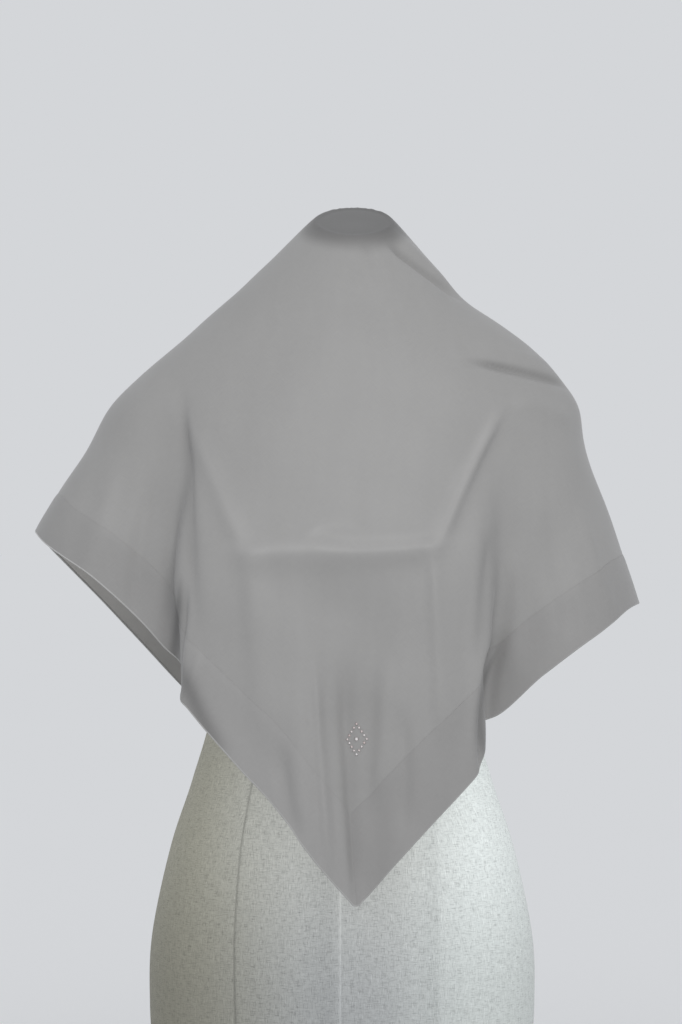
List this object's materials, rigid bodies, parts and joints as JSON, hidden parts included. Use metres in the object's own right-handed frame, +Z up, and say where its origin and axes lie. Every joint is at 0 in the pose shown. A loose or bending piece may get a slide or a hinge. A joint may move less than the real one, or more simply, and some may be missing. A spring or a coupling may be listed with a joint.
{
  "type": "silk square scarf on a limbless dress form",
  "caption": "Folded silk square with turned hems, draped point down over the neck and shoulders of a limbless linen dress form.",
  "frame": {"origin": "on the flat underside of the form, below the centre of its bust section", "axes": "+Z up, -Y towards the front of the form and the scarf's front corner, +X to the right of someone who looks at the front"},
  "size_m": [0.5361, 0.3987, 0.8168],
  "materials": {
    "silk": "plain silk, soft sheen",
    "silk_hem": "doubled silk, soft sheen",
    "linen": "slubbed linen, matt",
    "cap_cloth": "linen, matt",
    "board": "plain board, matt"
  },
  "bodies": {
    "root": {"scarf_panel": "silk", "hem_outer_left": "silk_hem", "hem_outer_right": "silk_hem", "hem_inner_left": "silk_hem", "hem_inner_right": "silk_hem", "form_torso": "linen", "form_neck_cap": "cap_cloth", "form_base": "board"}
  },
  "joints": []
}
